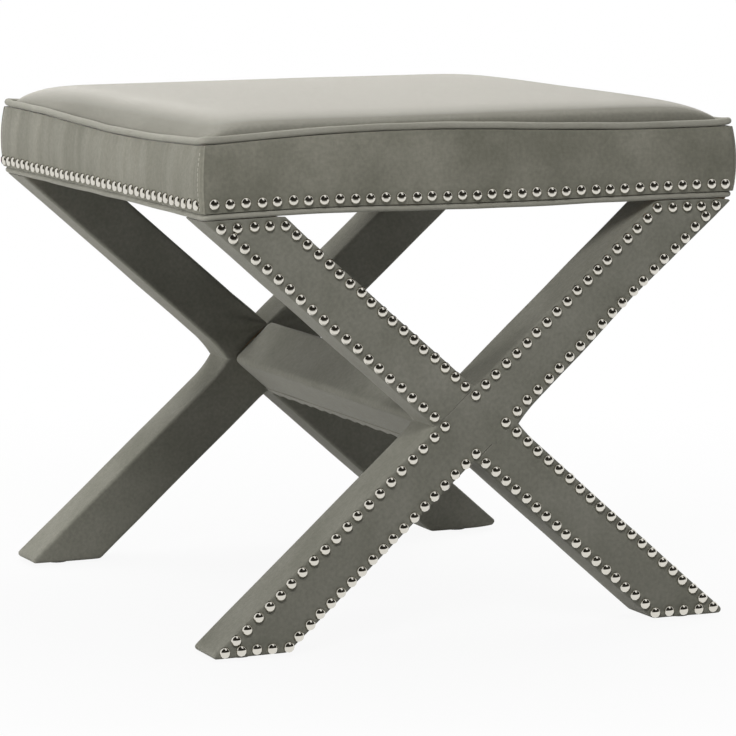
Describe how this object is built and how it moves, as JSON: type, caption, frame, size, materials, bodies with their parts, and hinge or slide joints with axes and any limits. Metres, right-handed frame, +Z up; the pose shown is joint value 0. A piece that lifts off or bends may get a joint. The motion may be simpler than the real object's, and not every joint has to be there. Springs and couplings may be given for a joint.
{
  "type": "vanity stool",
  "caption": "Low upholstered stool: boxed and welted square seat with a crowned top on two fabric-covered crossed leg frames joined by a stretcher.",
  "frame": {"origin": "on the floor, under the middle of the seat", "axes": "+X along the seat's width, to the right as seen from the front; +Y along its depth, from the front leg frame to the back one; +Z up"},
  "size_m": [0.531, 0.559, 0.4854],
  "materials": {
    "top_fabric": "matte",
    "boxing_fabric": "matte",
    "leg_fabric": "matte",
    "welt_fabric": "matte",
    "dust_cloth": "matte",
    "seat_foam": "matte",
    "frame_wood": "matte",
    "deck_plywood": "matte",
    "zinc_steel": "satin",
    "nail_nickel": "polished",
    "glide_plastic": "matte"
  },
  "bodies": {
    "root": {"leg_board_front_rising": "frame_wood", "leg_board_front_falling": "frame_wood", "leg_board_back_rising": "frame_wood", "leg_board_back_falling": "frame_wood", "leg_cover_front_rising": "leg_fabric", "leg_cover_front_falling_upper": "leg_fabric", "leg_cover_front_falling_lower": "leg_fabric", "leg_cover_back_rising": "leg_fabric", "leg_cover_back_falling_upper": "leg_fabric", "leg_cover_back_falling_lower": "leg_fabric", "stretcher_bolt_front": "zinc_steel", "stretcher_washer_front": "zinc_steel", "stretcher_dowel_front_left": "frame_wood", "stretcher_dowel_front_right": "frame_wood", "stretcher_bolt_back": "zinc_steel", "stretcher_washer_back": "zinc_steel", "stretcher_dowel_back_left": "frame_wood", "stretcher_dowel_back_right": "frame_wood", "stretcher_core": "frame_wood", "stretcher_cover": "leg_fabric", "glide_front_left": "glide_plastic", "hanger_bolt_front_left": "zinc_steel", "hanger_washer_front_left": "zinc_steel", "hanger_nut_front_left": "zinc_steel", "corner_block_front_left": "frame_wood", "glide_front_right": "glide_plastic", "hanger_bolt_front_right": "zinc_steel", "hanger_washer_front_right": "zinc_steel", "hanger_nut_front_right": "zinc_steel", "corner_block_front_right": "frame_wood", "glide_back_left": "glide_plastic", "hanger_bolt_back_left": "zinc_steel", "hanger_washer_back_left": "zinc_steel", "hanger_nut_back_left": "zinc_steel", "corner_block_back_left": "frame_wood", "glide_back_right": "glide_plastic", "hanger_bolt_back_right": "zinc_steel", "hanger_washer_back_right": "zinc_steel", "hanger_nut_back_right": "zinc_steel", "corner_block_back_right": "frame_wood", "seat_rail_front": "frame_wood", "seat_rail_back": "frame_wood", "seat_rail_left": "frame_wood", "seat_rail_right": "frame_wood", "seat_deck": "deck_plywood", "seat_foam": "seat_foam", "top_panel": "top_fabric", "boxing_front": "boxing_fabric", "boxing_back": "boxing_fabric", "boxing_left": "boxing_fabric", "boxing_right": "boxing_fabric", "top_welt": "welt_fabric", "bottom_welt": "welt_fabric", "dust_cover": "dust_cloth"}
  },
  "joints": []
}
